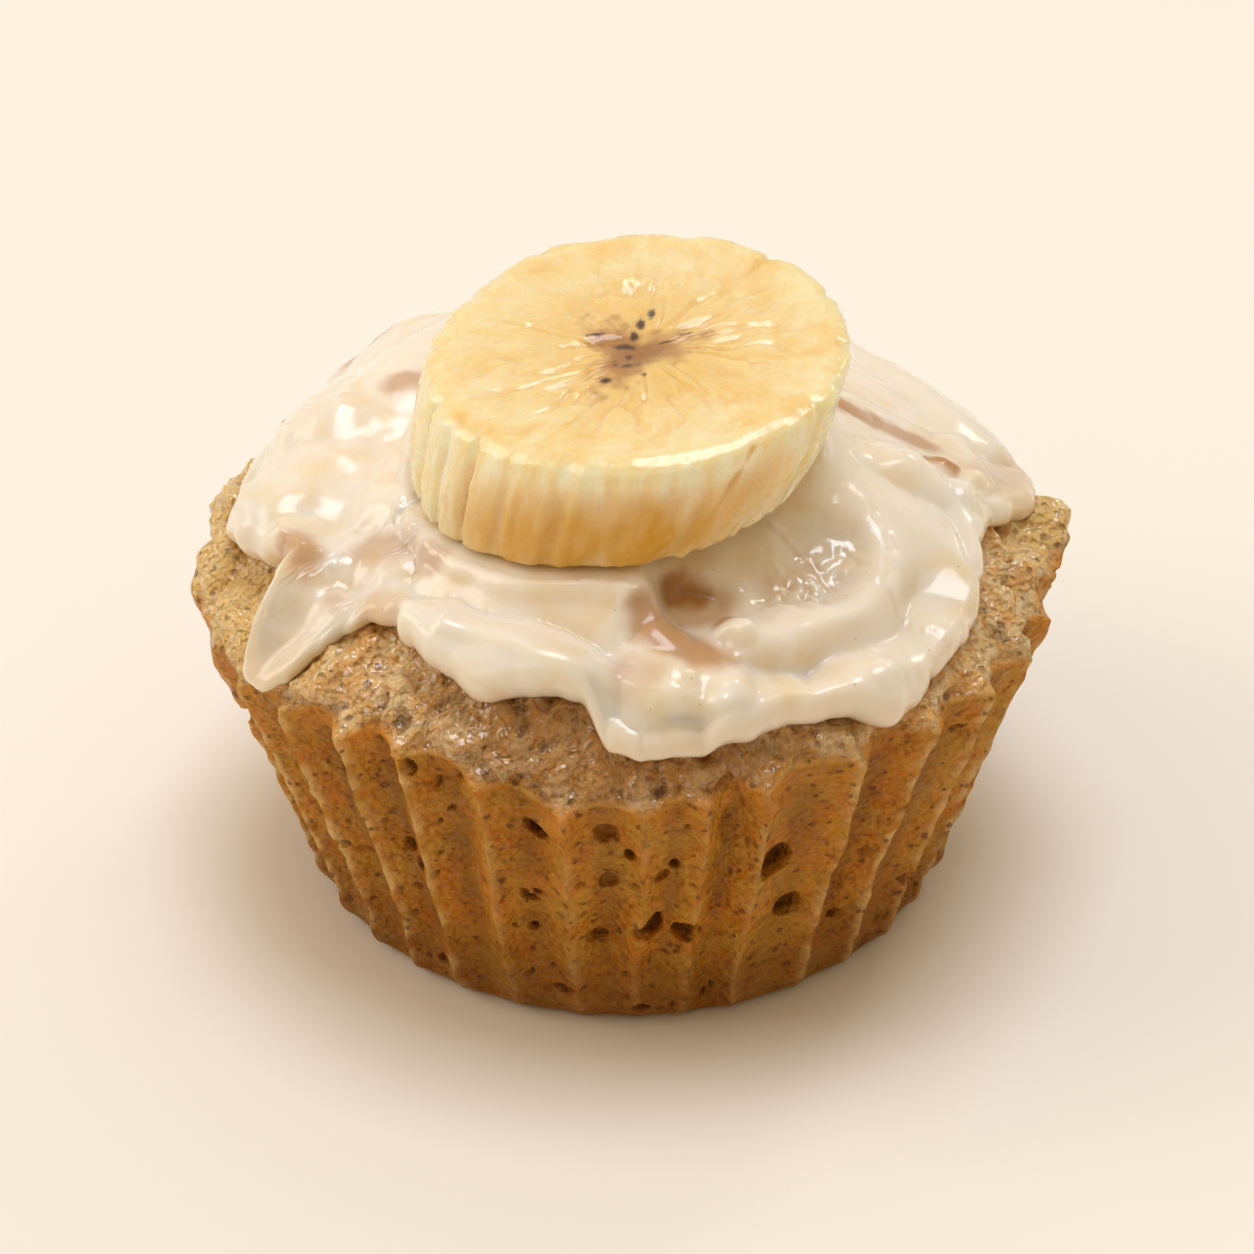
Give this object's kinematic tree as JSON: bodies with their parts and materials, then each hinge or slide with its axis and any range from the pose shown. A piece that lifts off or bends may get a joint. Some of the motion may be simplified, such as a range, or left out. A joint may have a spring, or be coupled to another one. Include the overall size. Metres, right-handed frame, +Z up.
{
  "type": "iced banana cupcake",
  "caption": "Fluted cupcake with a domed top, poured icing that runs over it in lobes, and a thick slice of banana lying on the icing.",
  "frame": {"origin": "centre of the flat foot, on the surface that the cupcake stands on", "axes": "+Z up along the cake's axis, -Y towards the front, where the icing sags lowest under the banana slice, +X to the right"},
  "size_m": [0.0698, 0.07, 0.0531],
  "materials": {
    "baked_crumb": "baked sponge: open crumb on top, and a browned, slightly moist fluted skin with small pores on the wall",
    "glaze_icing": "poured sugar icing, glossy, slightly see-through where it is thin",
    "banana_flesh": "freshly cut ripe banana, moist and fibrous, with a brown three-lobed core"
  },
  "bodies": {
    "root": {"cake": "baked_crumb", "icing": "glaze_icing", "banana_slice": "banana_flesh"}
  },
  "joints": []
}
